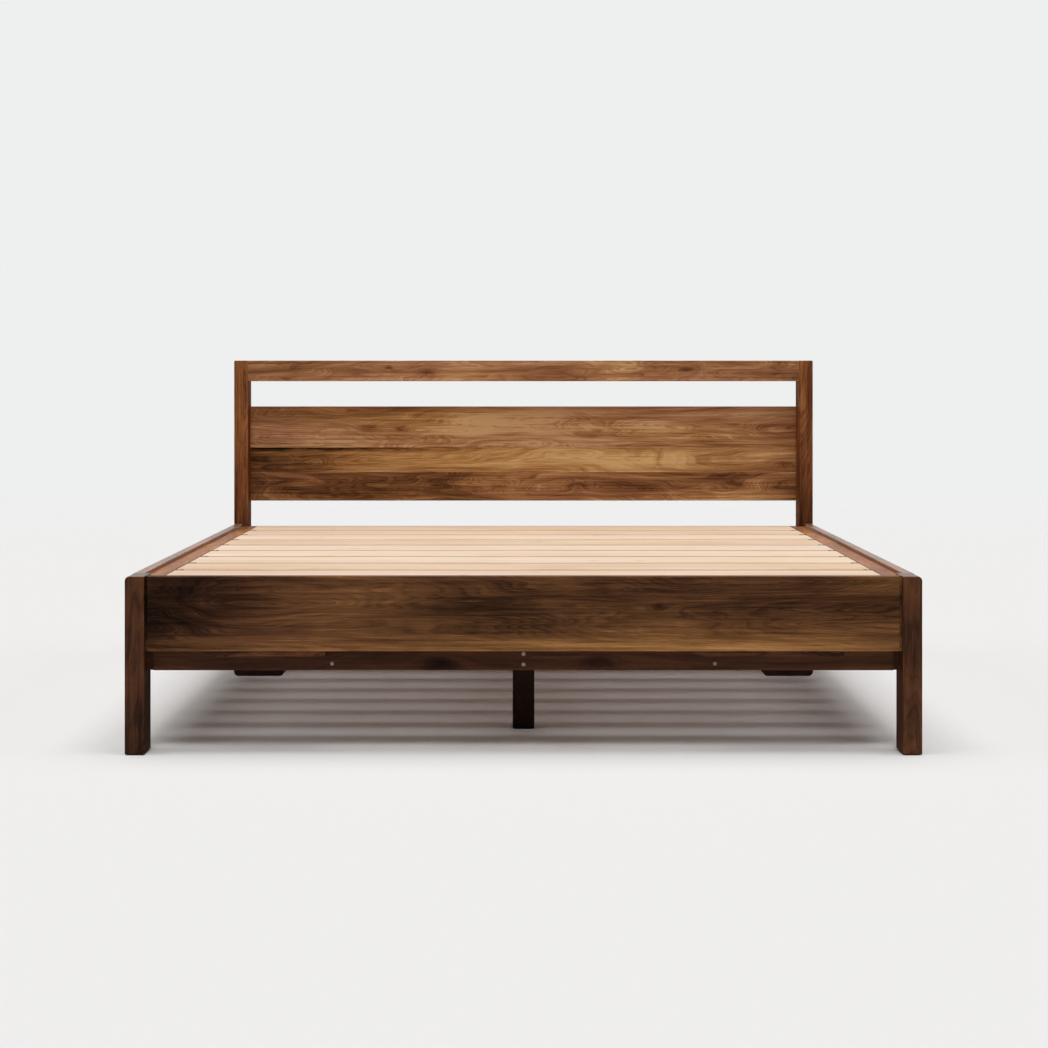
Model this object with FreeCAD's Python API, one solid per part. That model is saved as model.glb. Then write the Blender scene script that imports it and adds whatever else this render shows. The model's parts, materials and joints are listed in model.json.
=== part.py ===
import FreeCAD, Part
import os

os.makedirs("parts", exist_ok=True)

Vector = FreeCAD.Vector
X_DIR = Vector(1, 0, 0)
Y_DIR = Vector(0, 1, 0)
Z_DIR = Vector(0, 0, 1)
ORIGIN = Vector(0, 0, 0)

# A king-size platform bed frame in solid wood, in millimetres.
# Origin: middle of the footprint, on the floor.  +Y points to the headboard, +X to
# the right of someone who stands at the foot end, +Z up.  "left" is the -X side.

# ---- driving dimensions ------------------------------------------------------
OVERALL_WIDTH = 2050.0
OVERALL_LENGTH = 2190.0
HEADBOARD_TOP = 1037.5
RAIL_TOP = 460.0
RAIL_HEIGHT = 193.0
LEG_WIDTH = 50.0
LEG_DEPTH = 100.0
POST_WIDTH = 48.0
BOARD = 32.0                     # thickness of the foot rail and the head rail
SIDE_RAIL_THICKNESS = 32.0       # side rails, flush with the legs' outer faces
FOOT_RAIL_INSET = 4.0            # foot rail face behind the leg face
SHADOW_GAP_WIDTH = 8.0           # rebate where the foot rail meets each leg
SHADOW_GAP_DEPTH = 9.0
CORNER_RADIUS = 12.0             # outer top edge of the foot legs
RAIL_RADIUS = 9.0                # outer top edge of the side rails
POST_RADIUS = 4.0                # outer top edge of the headboard posts
SOFT_EDGE = 2.0                  # sanded edges everywhere else
BOARD_EDGE = 1.2                 # eased edges that make the panel seams

TOP_RAIL_HEIGHT = 73.0
PANEL_SEAMS = (537.0, 639.0, 727.0, 874.0)
PANEL_THICKNESS = 20.0
RABBET = 12.0                    # how far the panel boards lap over the posts
SPLINE_HALF_HEIGHT = 7.0
SPLINE_THICKNESS = 6.0
SPLINE_END = 960.0

INNER_RAIL_THICKNESS = 25.0
INNER_RAIL_BOTTOM = 214.0
SHOULDER_WIDTH = 18.0            # rebate in the inner rail's face beside each leg
SHOULDER_DEPTH = 10.0
HEAD_RAIL_TOP = 446.0             # just below the slats' tops
HEAD_RAIL_BACK_GAP = 13.0        # head rail behind the posts' back faces

SLAT_TOP = 450.0
SLAT_THICKNESS = 20.0
SLAT_WIDTH = 194.0
SLAT_PITCH = 226.0
SLAT_COUNT = 9
SLAT_HALF_LENGTH = 945.0
FIRST_SLAT_START = 103.0         # behind the front face of the foot legs
LEDGER_HEIGHT = 30.0             # from the ledger's underside to its shelf
LEDGER_INNER = 915.0
LEDGER_HALF_LENGTH = 990.0
LIP_INNER = 947.0                # the ledger's lip beside the slats' ends
LIP_HEIGHT = 20.0
SPACER_WIDTH = 22.0
SPACER_PLAY = 2.0                # play between a slat and each spacer block

BEAM_WIDTH = 60.0
BEAM_HEIGHT = 90.0
CENTRE_LEG_SIZE = 60.0
CENTRE_LEG_Y = 640.0
CENTRE_LEG_BOTTOM = 13.0

GLIDE_RADIUS = 19.0
GLIDE_THICKNESS = 3.0
NAIL_RADIUS = 1.5
NAIL_LENGTH = 17.0

# strip under the foot rail: (square end, tapered end), from the middle
CLEAT_ENDS = {"left": (510.0, 826.0), "right": (826.0, 428.0)}
CLEAT_TAPER = 36.0
CLEAT_HEIGHT = 14.0
CLEAT_TIP = 3.5                  # height left at the tapered end
CLEAT_DEPTH = 28.0
BLOCK_CENTRE = 687.0
BLOCK_WIDTH = 130.0
BLOCK_DEPTH = 60.0
BLOCK_BOTTOM = 196.0
BATTEN_TOP = 262.0
BATTEN_BOTTOM = 222.0
BATTEN_DEPTH = 22.0
BATTEN_INNER = 470.0
BATTEN_OUTER = 826.0

GAP = 0.05                       # clearance round a fastener
NEAR = 1.0                       # closer than this is the same edge
PARALLEL = 0.99                  # cosine of an edge that runs along an axis
# a fastener is (shank radius, head radius, head height, length)
LEDGER_SCREW = (2.5, 5.0, 3.0, 100.0)
SPACER_SCREW = (2.0, 4.2, 2.4, 34.0)
PANEL_SCREW = (2.0, 4.2, 2.4, 36.0)
CLEAT_SCREW = (2.0, 4.2, 2.4, 40.0)
BLOCK_SCREW = (2.2, 4.8, 2.8, 44.0)
BLOCK_LONG_SCREW = (2.2, 4.8, 2.8, 80.0)
INNER_RAIL_SCREW = (2.5, 5.0, 3.0, 48.0)
PLATE_SCREW = (1.8, 3.6, 2.0, 28.0)
CENTRE_LEG_SCREW = (3.0, 6.0, 3.6, 130.0)
BRACKET_SCREW = (2.2, 4.8, 2.8, 30.0)
TIP_LENGTH = 4.0
TIP_SHARE = 0.2                  # radius of a screw's tip as a share of its shank
HEX_SOCKET_SHARE = 0.45          # socket radius as a share of the head radius
HEX_SOCKET_DEPTH = 1.6
HEXAGON_TURN = 60.0              # degrees between a hexagon's corners
INNER_RAIL_SCREW_X = (150.0, 440.0, 880.0)
INNER_RAIL_SCREW_Z = (300.0, 400.0)
CLEAT_SCREW_SHARES = (0.2, 0.5, 0.85)
BLOCK_FRONT_SCREW_X = 495.0
BLOCK_FRONT_SCREW_Z = 231.0
BLOCK_BACK_SCREW_OFFSET = 40.0
BLOCK_BACK_SCREW_Z = (225.0, 248.0)
PANEL_SCREW_SHARES = (0.25, 0.75)
LEDGER_SCREW_COUNT = 8
LEDGER_SCREW_INSET = 60.0
BRACKET_SCREW_X = 18.0
BRACKET_SHELF_SCREW = 45.0       # from the rail behind the bracket
HEAD_BRACKET_SCREW_Z = (290.0, 318.0)
CENTRE_LEG_SCREW_OFFSET = 15.0

BOLT_RADIUS = 3.0
BOLT_HEAD_RADIUS = 5.5
BOLT_HEAD_HEIGHT = 3.3
BOLT_SOCKET_SHARE = 0.75         # socket radius as a share of the bolt radius
NUT_RADIUS = 5.8
NUT_HEIGHT = 5.0
BOLT_STICK_OUT = 2.0
BOLT_HEIGHTS = (230.0, 257.0)

DOWEL_SMALL = (5.0, 50.0)        # radius, length
DOWEL_LARGE = (6.0, 60.0)
DOWEL_CHAMFER = 1.0
DOWEL_PLAY = 1.0                 # room left at each end of a dowel's hole
RAIL_DOWEL_HEIGHTS = (310.0, 363.0, 416.0)
TOP_RAIL_DOWEL_INSET = 25.0

BRACKET_THICKNESS = 3.0
BRACKET_SHELF = 70.0
FOOT_BRACKET_BOTTOM = 222.0
HEAD_BRACKET_BOTTOM = 276.0

PLATE_WIDTH = 18.0               # bed-rail connector plates
PLATE_THICKNESS = 2.5
PLATE_SPAN = (300.0, 420.0)
HOOK_HEIGHTS = (324.0, 376.0)    # underside of each hook's neck
HOOK_THICKNESS = 4.0
HOOK_NECK = 14.0
HOOK_DROP = 10.0
HOOK_REACH = 8.0
HOOK_PLAY = 0.3
HOOK_POCKET_PLAY = 1.0
PLATE_SCREW_INSET = 8.0

STEM_RADIUS = 4.9
STEM_TOP = 58.0
STEM_HOLE_PLAY = 0.3
STEM_HOLE_TOP = 62.0
FLANGE_RADIUS = 10.0
FLANGE_SPAN = (5.0, 8.0)
STEM_KEY_RADIUS = 2.9
STEM_KEY_DEPTH = 6.0
INSERT_RADIUS = 7.0
INSERT_BORE = 4.97
INSERT_LENGTH = 25.0
PAD_THICKNESS = 12.0
PAD_WELL_RADIUS = 10.2
PAD_ACCESS_RADIUS = 3.5
PAD_EDGE = 5.0
PAD_RIM = 4.5
GLIDE_RIM = 1.0

# ---- places that follow from them --------------------------------------------
HALF_WIDTH = OVERALL_WIDTH / 2
FOOT_FACE = -OVERALL_LENGTH / 2
LEG_BACK = FOOT_FACE + LEG_DEPTH
POST_FACE = OVERALL_LENGTH / 2 - LEG_DEPTH
POST_BACK = OVERALL_LENGTH / 2
LEG_INNER = HALF_WIDTH - LEG_WIDTH
POST_INNER = HALF_WIDTH - POST_WIDTH
LEG_CENTRE_X = HALF_WIDTH - LEG_WIDTH / 2
LEG_CENTRE_Y = (POST_FACE + POST_BACK) / 2
RAIL_INNER = HALF_WIDTH - SIDE_RAIL_THICKNESS
RAIL_CENTRE_X = HALF_WIDTH - SIDE_RAIL_THICKNESS / 2
RAIL_BOTTOM = RAIL_TOP - RAIL_HEIGHT
FOOT_RAIL_FRONT = FOOT_FACE + FOOT_RAIL_INSET
FOOT_RAIL_BACK = FOOT_RAIL_FRONT + BOARD
INNER_RAIL_BACK = FOOT_RAIL_BACK + INNER_RAIL_THICKNESS
SLAT_BOTTOM = SLAT_TOP - SLAT_THICKNESS
LEDGER_BOTTOM = SLAT_BOTTOM - LEDGER_HEIGHT
SPACER_INNER = LIP_INNER - SPACER_WIDTH
BEAM_BOTTOM = SLAT_BOTTOM - BEAM_HEIGHT
TOP_RAIL_BOTTOM = HEADBOARD_TOP - TOP_RAIL_HEIGHT
PANEL_FRONT = POST_BACK - PANEL_THICKNESS
PANEL_END = POST_INNER + RABBET
HEAD_RAIL_BACK = POST_BACK - HEAD_RAIL_BACK_GAP
HEAD_RAIL_FRONT = HEAD_RAIL_BACK - BOARD

SIDES = {"left": -1, "right": 1}
CENTRE_LEGS = {"front": -1, "rear": 1}
pieces = {}


# ---- helpers -----------------------------------------------------------------
def block(x_span, y_span, z_span, radius=0.0):
    """A board between two limits along each axis, with eased edges."""
    low = [min(span) for span in (x_span, y_span, z_span)]
    size = [abs(span[1] - span[0]) for span in (x_span, y_span, z_span)]
    solid = Part.makeBox(*size, Vector(*low))
    if radius:
        solid = solid.makeFillet(radius, solid.Edges)
    return solid


def long_edge(solid, x, z):
    """The edge that runs along Y at the given x and z."""
    for edge in solid.Edges:
        middle = edge.CenterOfMass
        along = abs(edge.tangentAt(edge.FirstParameter).y) > PARALLEL
        if along and abs(middle.x - x) < NEAR and abs(middle.z - z) < NEAR:
            return edge
    raise ValueError("no such edge")


def rounded_member(x_span, y_span, z_span, outer_x, big_radius):
    """A member with one large rounded top edge on its outer side, and eased edges."""
    solid = block(x_span, y_span, z_span)
    edge = long_edge(solid, outer_x, max(z_span))
    solid = solid.makeFillet(big_radius, [edge])
    top = max(z_span)
    shoulder = abs(outer_x) - big_radius - NEAR
    sharp = []
    for edge in solid.Edges:
        middle = edge.CenterOfMass
        on_round_top = abs(middle.z - top) < NEAR and abs(middle.x) > shoulder
        below_round_top = abs(middle.z - top + big_radius) < NEAR
        if edge.Length > big_radius * 2 and not on_round_top and not below_round_top:
            sharp.append(edge)
    return solid.makeFillet(SOFT_EDGE, sharp)


def upright_edges(solid):
    return [e for e in solid.Edges if abs(e.tangentAt(e.FirstParameter).z) > PARALLEL]


def drill(names, cutters):
    """Cut holes or pockets out of the named pieces."""
    for name in names:
        pieces[name] = pieces[name].cut(cutters)


def hexagon(centre, direction, radius, depth):
    """A six-sided prism from centre along direction."""
    points = []
    turn = FreeCAD.Rotation(Z_DIR, direction)
    for corner in range(7):
        spoke = FreeCAD.Rotation(Z_DIR, HEXAGON_TURN * corner).multVec(Vector(radius, 0, 0))
        points.append(centre + turn.multVec(spoke))
    face = Part.Face(Part.makePolygon(points))
    return face.extrude(direction * depth)


def screw_shape(head_at, direction, size, gap=0.0):
    """A countersunk screw whose flat head lies at head_at; gap makes its hole."""
    shank, head, head_height, length = size
    cone = Part.makeCone(head + gap, shank + gap, head_height, head_at, direction)
    rod = Part.makeCylinder(shank + gap, length - TIP_LENGTH, head_at, direction)
    tip_at = head_at + direction * (length - TIP_LENGTH)
    tip = Part.makeCone(shank + gap, shank * TIP_SHARE + gap, TIP_LENGTH + gap, tip_at, direction)
    return cone.fuse([rod, tip]).removeSplitter()


def drive_screws(node, size, places, woods):
    """Put screws at the places (point, direction) and cut their holes."""
    screws = []
    holes = []
    for head_at, direction in places:
        socket_radius = size[1] * HEX_SOCKET_SHARE
        socket = hexagon(head_at, direction, socket_radius, HEX_SOCKET_DEPTH)
        screws.append(screw_shape(head_at, direction, size).cut(socket))
        holes.append(screw_shape(head_at, direction, size, GAP))
    drill(woods, holes)
    pieces.setdefault(node, []).extend(screws)


def drive_dowels(node, size, places, woods):
    """Put dowels centred at the places, along X, and cut their holes."""
    radius, length = size
    dowels = []
    holes = []
    for middle in places:
        start = middle - X_DIR * (length / 2)
        dowel = Part.makeCylinder(radius, length, start, X_DIR)
        dowels.append(dowel.makeChamfer(DOWEL_CHAMFER, [e for e in dowel.Edges if e.Closed]))
        hole_start = start - X_DIR * DOWEL_PLAY
        hole_length = length + 2 * DOWEL_PLAY
        holes.append(Part.makeCylinder(radius + GAP, hole_length, hole_start, X_DIR))
    drill(woods, holes)
    pieces.setdefault(node, []).extend(dowels)


def slat_start(index):
    """Front edge of slat number index, counted from 0 at the foot end."""
    return FOOT_FACE + FIRST_SLAT_START + SLAT_PITCH * index


# ---- foot end ----------------------------------------------------------------
def make_foot_end():
    rail_span = (-LEG_INNER, LEG_INNER)
    for side, sign in SIDES.items():
        outer = sign * HALF_WIDTH
        x_span = (sign * LEG_INNER, outer)
        z_span = (GLIDE_THICKNESS, RAIL_TOP)
        leg = rounded_member(x_span, (FOOT_FACE, LEG_BACK), z_span, outer, CORNER_RADIUS)
        pieces["foot_leg_" + side] = leg
    y_span = (FOOT_RAIL_FRONT, FOOT_RAIL_BACK)
    foot_rail = block(rail_span, y_span, (RAIL_BOTTOM, RAIL_TOP), SOFT_EDGE)
    gap_y = (FOOT_RAIL_FRONT, FOOT_RAIL_FRONT + SHADOW_GAP_DEPTH)
    for sign in SIDES.values():
        gap_x = (sign * (LEG_INNER - SHADOW_GAP_WIDTH), sign * LEG_INNER)
        foot_rail = foot_rail.cut(block(gap_x, gap_y, (RAIL_BOTTOM, RAIL_TOP)))
    pieces["foot_rail"] = foot_rail
    y_span = (FOOT_RAIL_BACK, INNER_RAIL_BACK)
    z_span = (INNER_RAIL_BOTTOM, SLAT_BOTTOM)
    inner_rail = block(rail_span, y_span, z_span, SOFT_EDGE)
    shoulder_y = (FOOT_RAIL_BACK, FOOT_RAIL_BACK + SHOULDER_DEPTH)
    for sign in SIDES.values():
        shoulder_x = (sign * (LEG_INNER - SHOULDER_WIDTH), sign * LEG_INNER)
        inner_rail = inner_rail.cut(block(shoulder_x, shoulder_y, z_span))
    pieces["foot_inner_rail"] = inner_rail
    for side, sign in SIDES.items():
        make_foot_rail_cleat(side, sign)
        make_support_block(side, sign)
    middle_y = (FOOT_RAIL_FRONT + FOOT_RAIL_BACK) / 2
    places = [Vector(sign * LEG_INNER, middle_y, z) for sign in (-1, 1) for z in RAIL_DOWEL_HEIGHTS]
    drive_dowels("rail_dowels", DOWEL_SMALL, places, ["foot_leg_left", "foot_leg_right", "foot_rail"])
    places = []
    for x in INNER_RAIL_SCREW_X:
        for z in INNER_RAIL_SCREW_Z:
            places.append((Vector(-x, INNER_RAIL_BACK, z), -Y_DIR))
            places.append((Vector(x, INNER_RAIL_BACK, z), -Y_DIR))
    drive_screws("foot_inner_rail_screws", INNER_RAIL_SCREW, places, ["foot_rail", "foot_inner_rail"])


def make_foot_rail_cleat(side, sign):
    """A long low strip under the foot rail, square at one end and tapered at the other."""
    square_end, tapered_end = CLEAT_ENDS[side]
    towards_square = 1 if square_end > tapered_end else -1
    low = RAIL_BOTTOM - CLEAT_HEIGHT
    outline = [
        (tapered_end, RAIL_BOTTOM),
        (square_end, RAIL_BOTTOM),
        (square_end, low),
        (tapered_end + towards_square * CLEAT_TAPER, low),
        (tapered_end, RAIL_BOTTOM - CLEAT_TIP),
    ]
    front = FOOT_RAIL_FRONT + SOFT_EDGE
    points = [Vector(sign * x, front, z) for x, z in outline]
    face = Part.Face(Part.makePolygon(points + points[:1]))
    solid = face.extrude(Y_DIR * CLEAT_DEPTH)
    lower = [e for e in solid.Edges if abs(e.CenterOfMass.z - low) < NEAR]
    lower = [e for e in lower if abs(e.tangentAt(e.FirstParameter).x) > PARALLEL]
    pieces["foot_rail_cleat_" + side] = solid.makeFillet(SOFT_EDGE, lower)
    length = square_end - tapered_end
    places = []
    for share in CLEAT_SCREW_SHARES:
        x = sign * (tapered_end + share * length)
        places.append((Vector(x, front + CLEAT_DEPTH / 2, low), Z_DIR))
    drive_screws("foot_cleat_screws", CLEAT_SCREW, places, ["foot_rail", "foot_rail_cleat_" + side])


def make_support_block(side, sign):
    """A batten behind the inner rail with a thick block hanging below it."""
    batten = block(
        (sign * BATTEN_INNER, sign * BATTEN_OUTER),
        (INNER_RAIL_BACK, INNER_RAIL_BACK + BATTEN_DEPTH),
        (BATTEN_BOTTOM, BATTEN_TOP),
    )
    inner = sign * (BLOCK_CENTRE - BLOCK_WIDTH / 2)
    outer = sign * (BLOCK_CENTRE + BLOCK_WIDTH / 2)
    y_span = (INNER_RAIL_BACK, INNER_RAIL_BACK + BLOCK_DEPTH)
    lump = block((inner, outer), y_span, (BLOCK_BOTTOM, BATTEN_TOP))
    corners = [long_edge(lump, inner, BLOCK_BOTTOM), long_edge(lump, outer, BLOCK_BOTTOM)]
    lump = lump.makeFillet(CORNER_RADIUS, corners)
    node = "foot_support_block_" + side
    pieces[node] = batten.fuse(lump).removeSplitter()
    head_at = Vector(sign * BLOCK_FRONT_SCREW_X, FOOT_RAIL_BACK, BLOCK_FRONT_SCREW_Z)
    woods = ["foot_inner_rail", node]
    drive_screws("foot_block_screws", BLOCK_SCREW, [(head_at, Y_DIR)], woods)
    back = []
    for offset in (-BLOCK_BACK_SCREW_OFFSET, BLOCK_BACK_SCREW_OFFSET):
        for z in BLOCK_BACK_SCREW_Z:
            head_at = Vector(sign * (BLOCK_CENTRE + offset), INNER_RAIL_BACK + BLOCK_DEPTH, z)
            back.append((head_at, -Y_DIR))
    drive_screws("foot_block_screws", BLOCK_LONG_SCREW, back, woods)


# ---- headboard ---------------------------------------------------------------
def make_headboard():
    for side, sign in SIDES.items():
        outer = sign * HALF_WIDTH
        x_span = (sign * POST_INNER, outer)
        z_span = (GLIDE_THICKNESS, HEADBOARD_TOP)
        post = rounded_member(x_span, (POST_FACE, POST_BACK), z_span, outer, POST_RADIUS)
        pieces["headboard_post_" + side] = post
    posts = ["headboard_post_left", "headboard_post_right"]
    inner_span = (-POST_INNER, POST_INNER)
    z_span = (TOP_RAIL_BOTTOM, HEADBOARD_TOP)
    pieces["headboard_top_rail"] = block(inner_span, (POST_FACE, POST_BACK), z_span, SOFT_EDGE)
    z_span = (RAIL_BOTTOM, HEAD_RAIL_TOP)
    pieces["head_rail"] = block(inner_span, (HEAD_RAIL_FRONT, HEAD_RAIL_BACK), z_span, SOFT_EDGE)

    z_span = (PANEL_SEAMS[0], PANEL_SEAMS[-1])
    rabbet = block((-PANEL_END, PANEL_END), (PANEL_FRONT, POST_BACK + 1), z_span)
    drill(posts, [rabbet])
    boards = ["headboard_panel_" + level + "_board" for level in ("lower", "middle", "upper")]
    for name, bottom, top in zip(boards, PANEL_SEAMS[:-1], PANEL_SEAMS[1:]):
        pieces[name] = block((-PANEL_END, PANEL_END), (PANEL_FRONT, POST_BACK), (bottom, top), BOARD_EDGE)
    middle = (PANEL_FRONT + POST_BACK) / 2
    splines = []
    for seam in PANEL_SEAMS[1:-1]:
        y_span = (middle - SPLINE_THICKNESS / 2, middle + SPLINE_THICKNESS / 2)
        z_span = (seam - SPLINE_HALF_HEIGHT, seam + SPLINE_HALF_HEIGHT)
        splines.append(block((-SPLINE_END, SPLINE_END), y_span, z_span))
    drill(boards, splines)
    pieces["headboard_panel_splines"] = splines

    places = []
    for bottom, top in zip(PANEL_SEAMS[:-1], PANEL_SEAMS[1:]):
        for share in PANEL_SCREW_SHARES:
            z = bottom + share * (top - bottom)
            for sign in (-1, 1):
                x = sign * (POST_INNER + RABBET / 2)
                places.append((Vector(x, POST_BACK, z), -Y_DIR))
    drive_screws("headboard_panel_screws", PANEL_SCREW, places, boards + posts)

    places = [
        Vector(sign * POST_INNER, y, (TOP_RAIL_BOTTOM + HEADBOARD_TOP) / 2)
        for sign in (-1, 1)
        for y in (POST_FACE + TOP_RAIL_DOWEL_INSET, POST_BACK - TOP_RAIL_DOWEL_INSET)
    ]
    drive_dowels("headboard_top_rail_dowels", DOWEL_LARGE, places, posts + ["headboard_top_rail"])
    middle = (HEAD_RAIL_FRONT + HEAD_RAIL_BACK) / 2
    places = [Vector(sign * POST_INNER, middle, z) for sign in (-1, 1) for z in RAIL_DOWEL_HEIGHTS]
    drive_dowels("rail_dowels", DOWEL_SMALL, places, posts + ["head_rail"])


# ---- side rails, ledgers and spacer blocks -----------------------------------
def make_side_rails():
    for side, sign in SIDES.items():
        outer = sign * HALF_WIDTH
        rail = "side_rail_" + side
        ledger = "slat_ledger_" + side
        x_span = (sign * RAIL_INNER, outer)
        z_span = (RAIL_BOTTOM, RAIL_TOP)
        pieces[rail] = rounded_member(x_span, (LEG_BACK, POST_FACE), z_span, outer, RAIL_RADIUS)
        pieces[ledger] = ledger_shape(sign)
        outward = X_DIR * sign
        middle = SLAT_BOTTOM - LEDGER_HEIGHT / 2
        first = LEDGER_SCREW_INSET - LEDGER_HALF_LENGTH
        step = -2 * first / (LEDGER_SCREW_COUNT - 1)
        places = [
            (Vector(sign * LEDGER_INNER, first + step * n, middle), outward)
            for n in range(LEDGER_SCREW_COUNT)
        ]
        drive_screws("slat_ledger_screws", LEDGER_SCREW, places, [ledger, rail])
        make_spacers(side, sign, ledger)


def ledger_shape(sign):
    """A long L: a shelf that carries the slats and a lip beside their ends."""
    y_span = (-LEDGER_HALF_LENGTH, LEDGER_HALF_LENGTH)
    shelf = block((sign * LEDGER_INNER, sign * RAIL_INNER), y_span, (LEDGER_BOTTOM, SLAT_BOTTOM))
    lip = block((sign * LIP_INNER, sign * RAIL_INNER), y_span, (LEDGER_BOTTOM, SLAT_BOTTOM + LIP_HEIGHT))
    return shelf.fuse(lip).removeSplitter()


def make_spacers(side, sign, ledger):
    """Blocks on the ledger's shelf that keep the slats' ends apart."""
    node = "slat_spacers_" + side
    spacers = []
    places = []
    for index in range(SLAT_COUNT - 1):
        start = slat_start(index) + SLAT_WIDTH + SPACER_PLAY
        end = slat_start(index + 1) - SPACER_PLAY
        x_span = (sign * SPACER_INNER, sign * LIP_INNER)
        spacers.append(block(x_span, (start, end), (SLAT_BOTTOM, SLAT_TOP)))
        middle = sign * (SPACER_INNER + SPACER_WIDTH / 2)
        places.append((Vector(middle, (start + end) / 2, SLAT_TOP), -Z_DIR))
    pieces[node] = Part.makeCompound(spacers)
    drive_screws("slat_spacer_screws", SPACER_SCREW, places, [node, ledger])


# ---- bed-rail connectors: hooks on the rails, slotted plates in the posts ----
def make_connectors():
    centre = -RAIL_CENTRE_X
    face = LEG_BACK
    x_span = (centre - PLATE_WIDTH / 2, centre + PLATE_WIDTH / 2)
    hook_plate = block(x_span, (face, face + PLATE_THICKNESS), PLATE_SPAN)
    catch_plate = block(x_span, (face - PLATE_THICKNESS, face), PLATE_SPAN)
    rail_pocket = hook_plate.copy()
    leg_pocket = catch_plate.copy()
    hook_x = (centre - HOOK_THICKNESS / 2, centre + HOOK_THICKNESS / 2)
    slot_x = (hook_x[0] - HOOK_PLAY, hook_x[1] + HOOK_PLAY)
    tongue_front = face - PLATE_THICKNESS - HOOK_PLAY
    tongue_back = tongue_front - HOOK_REACH
    for low in HOOK_HEIGHTS:
        neck = block(hook_x, (tongue_back, face), (low, low + HOOK_NECK))
        tongue = block(hook_x, (tongue_back, tongue_front), (low - HOOK_DROP, low + HOOK_NECK))
        hook_plate = hook_plate.fuse([neck, tongue])
        slot_top = low + HOOK_NECK + HOOK_DROP + HOOK_POCKET_PLAY
        slot = block(slot_x, (face - PLATE_THICKNESS, face), (low, slot_top))
        catch_plate = catch_plate.cut(slot)
        pocket_bottom = low - HOOK_DROP - HOOK_POCKET_PLAY
        pocket = block(slot_x, (tongue_back - HOOK_POCKET_PLAY, face), (pocket_bottom, slot_top))
        leg_pocket = leg_pocket.fuse(pocket)
    hook_plate = hook_plate.removeSplitter()

    hooks = []
    catches = []
    for side, x_sign in SIDES.items():
        for end, y_sign in (("foot_leg_", -1), ("headboard_post_", 1)):
            hook = at_corner(hook_plate, x_sign, y_sign)
            catch = at_corner(catch_plate, x_sign, y_sign)
            rail = "side_rail_" + side
            leg = end + side
            drill([rail], [at_corner(rail_pocket, x_sign, y_sign)])
            drill([leg], [at_corner(leg_pocket, x_sign, y_sign)])
            into_leg = Y_DIR * y_sign
            heights = (PLATE_SPAN[0] + PLATE_SCREW_INSET, PLATE_SPAN[1] - PLATE_SCREW_INSET)
            for z in heights:
                head_at = Vector(x_sign * RAIL_CENTRE_X, y_sign * POST_FACE, z)
                hook, catch = fix_plates(head_at, into_leg, hook, catch, rail, leg)
            hooks.append(hook)
            catches.append(catch)
    pieces["rail_hook_plates"] = hooks
    pieces["post_catch_plates"] = catches


def at_corner(shape, x_sign, y_sign):
    """Mirror a shape made for the left foot corner to another corner."""
    if x_sign > 0:
        shape = shape.mirror(ORIGIN, X_DIR)
    if y_sign > 0:
        shape = shape.mirror(ORIGIN, Y_DIR)
    return shape


def fix_plates(head_at, into_leg, hook, catch, rail, leg):
    """Screw the catch plate to the leg and the hook plate to the rail end."""
    drive_screws("connector_plate_screws", PLATE_SCREW, [(head_at, into_leg)], [leg])
    drive_screws("connector_plate_screws", PLATE_SCREW, [(head_at, -into_leg)], [rail])
    catch = catch.cut(screw_shape(head_at, into_leg, PLATE_SCREW, GAP))
    hook = hook.cut(screw_shape(head_at, -into_leg, PLATE_SCREW, GAP))
    return hook, catch


# ---- centre support ----------------------------------------------------------
def make_centre_support():
    half = BEAM_WIDTH / 2
    y_span = (INNER_RAIL_BACK, HEAD_RAIL_FRONT)
    pieces["centre_beam"] = block((-half, half), y_span, (BEAM_BOTTOM, SLAT_BOTTOM))
    pieces["beam_bracket_foot"] = beam_bracket(INNER_RAIL_BACK, 1, FOOT_BRACKET_BOTTOM)
    pieces["beam_bracket_head"] = beam_bracket(HEAD_RAIL_FRONT, -1, HEAD_BRACKET_BOTTOM)
    under = []
    for wall, inward in ((INNER_RAIL_BACK, 1), (HEAD_RAIL_FRONT, -1)):
        for x in (-BRACKET_SCREW_X, BRACKET_SCREW_X):
            y = wall + inward * BRACKET_SHELF_SCREW
            under.append((Vector(x, y, BEAM_BOTTOM - BRACKET_THICKNESS), Z_DIR))
    brackets = ["beam_bracket_foot", "beam_bracket_head"]
    drive_screws("beam_bracket_screws", BRACKET_SCREW, under, brackets + ["centre_beam"])
    head_wall = HEAD_RAIL_FRONT - BRACKET_THICKNESS
    places = []
    for x in (-BRACKET_SCREW_X, BRACKET_SCREW_X):
        for z in HEAD_BRACKET_SCREW_Z:
            places.append((Vector(x, head_wall, z), Y_DIR))
    drive_screws("beam_bracket_screws", BRACKET_SCREW, places, ["beam_bracket_head", "head_rail"])
    make_bracket_bolts()
    for end, sign in CENTRE_LEGS.items():
        make_centre_leg(end, sign * CENTRE_LEG_Y)


def beam_bracket(wall, inward, bottom):
    """An angle bracket: a plate on the rail and a shelf under the beam."""
    half = BEAM_WIDTH / 2
    plate = block((-half, half), (wall, wall + inward * BRACKET_THICKNESS), (bottom, BEAM_BOTTOM))
    z_span = (BEAM_BOTTOM - BRACKET_THICKNESS, BEAM_BOTTOM)
    shelf = block((-half, half), (wall, wall + inward * BRACKET_SHELF), z_span)
    return plate.fuse(shelf).removeSplitter()


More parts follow.
